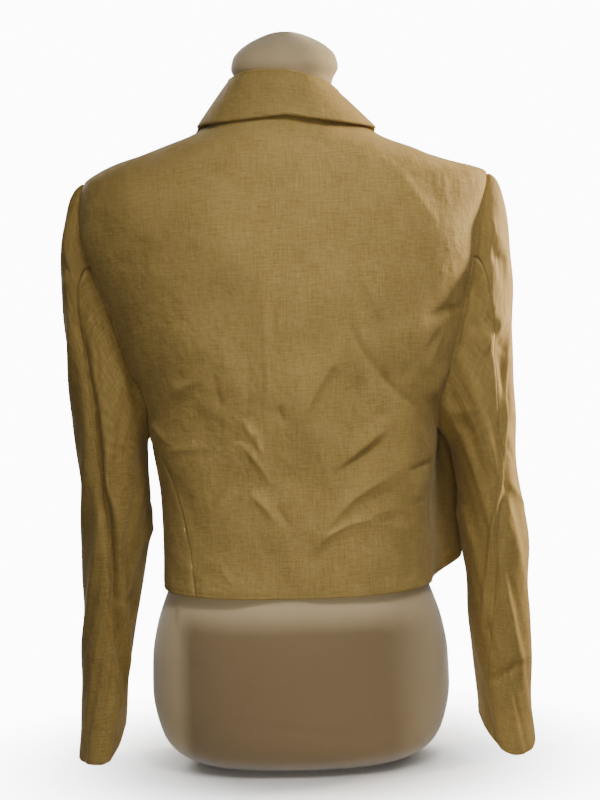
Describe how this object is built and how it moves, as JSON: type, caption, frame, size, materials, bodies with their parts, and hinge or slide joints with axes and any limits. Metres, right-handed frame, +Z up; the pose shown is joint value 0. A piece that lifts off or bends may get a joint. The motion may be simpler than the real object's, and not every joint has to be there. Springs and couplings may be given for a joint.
{
  "type": "cropped blazer on a dress form",
  "caption": "Cropped linen-type blazer with notched lapels, turned-down collar and long two-piece sleeves, standing on a limbless dress form with a domed neck.",
  "frame": {"origin": "middle of the dress form's flat base", "axes": "+Z up, +Y towards the back of the jacket, +X towards the wearer's left"},
  "size_m": [0.4802, 0.2547, 0.749],
  "materials": {
    "cloth": "slubby plain weave, matt",
    "form_cover": "smooth stretched cover, matt",
    "button": "satin"
  },
  "bodies": {
    "root": {"dress_form": "form_cover", "back": "cloth", "front_left": "cloth", "front_right": "cloth", "lapel_left": "cloth", "lapel_right": "cloth", "collar": "cloth", "top_sleeve_left": "cloth", "top_sleeve_right": "cloth", "under_sleeve_left": "cloth", "under_sleeve_right": "cloth", "button": "button"}
  },
  "joints": []
}
